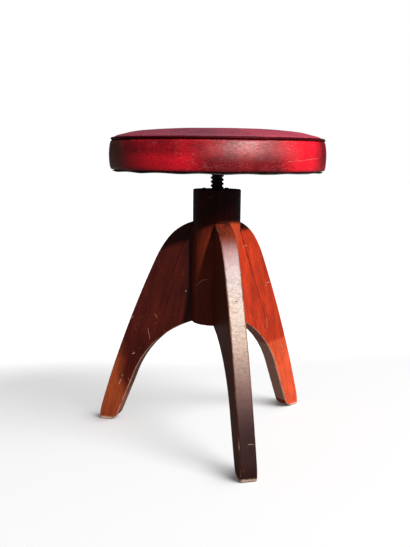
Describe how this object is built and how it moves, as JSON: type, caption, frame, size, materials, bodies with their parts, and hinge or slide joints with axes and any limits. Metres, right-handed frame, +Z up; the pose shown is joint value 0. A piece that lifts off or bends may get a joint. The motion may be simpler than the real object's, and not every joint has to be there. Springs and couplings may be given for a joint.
{
  "type": "revolving piano stool",
  "caption": "Screw-lift stool: a round padded leather seat on a coarse-threaded spindle that turns in a round wooden post on sawn, arched wooden legs.",
  "frame": {"origin": "on the floor, under the axis of the post and the spindle", "axes": "+Z up along the spindle, -Y towards the front leg"},
  "size_m": [0.366, 0.3725, 0.4938],
  "materials": {
    "post_wood": "dark mahogany-stained hardwood, semi-gloss varnish",
    "leg_wood": "red mahogany-stained hardwood, semi-gloss varnish, worn edges",
    "board_wood": "unfinished wood board",
    "iron": "dark oiled iron",
    "screw_steel": "blackened steel screw, lightly greased",
    "fastener_steel": "dull steel",
    "stuffing": "firm stuffing",
    "leather_top": "dark red leather, soft sheen",
    "leather_band": "bright red leather, worn sheen",
    "leather_piping": "maroon leather piping",
    "lining_cloth": "grey lining cloth"
  },
  "bodies": {
    "base": {"post": "post_wood", "leg_front": "leg_wood", "leg_right": "leg_wood", "leg_left": "leg_wood", "spindle_nut": "iron", "nut_screws": "fastener_steel"},
    "stop_washer": {"stop_washer": "iron"},
    "seat": {"spindle": "screw_steel", "spindle_stop_pin": "fastener_steel", "seat_plate": "iron", "seat_plate_screws": "fastener_steel", "seat_board": "board_wood", "seat_padding": "stuffing", "cover_top": "leather_top", "cover_band": "leather_band", "piping": "leather_piping", "dust_cover": "lining_cloth", "cover_tacks": "fastener_steel"}
  },
  "joints": [
    {"name": "seat_lift", "type": "slide", "parent": "base", "child": "stop_washer", "axis": [0, 0, 1], "range_m": [-0.0191, 0.1017]},
    {"name": "seat_turn", "type": "hinge", "parent": "stop_washer", "child": "seat", "pos_m": [0, 0, 0.433], "axis": [0, 0, 1], "range_deg": [-1080, 5760]}
  ],
  "couplings": [
    {"joint": "seat_lift", "follows": "seat_turn", "m_per_rad": 0.0010106}
  ]
}
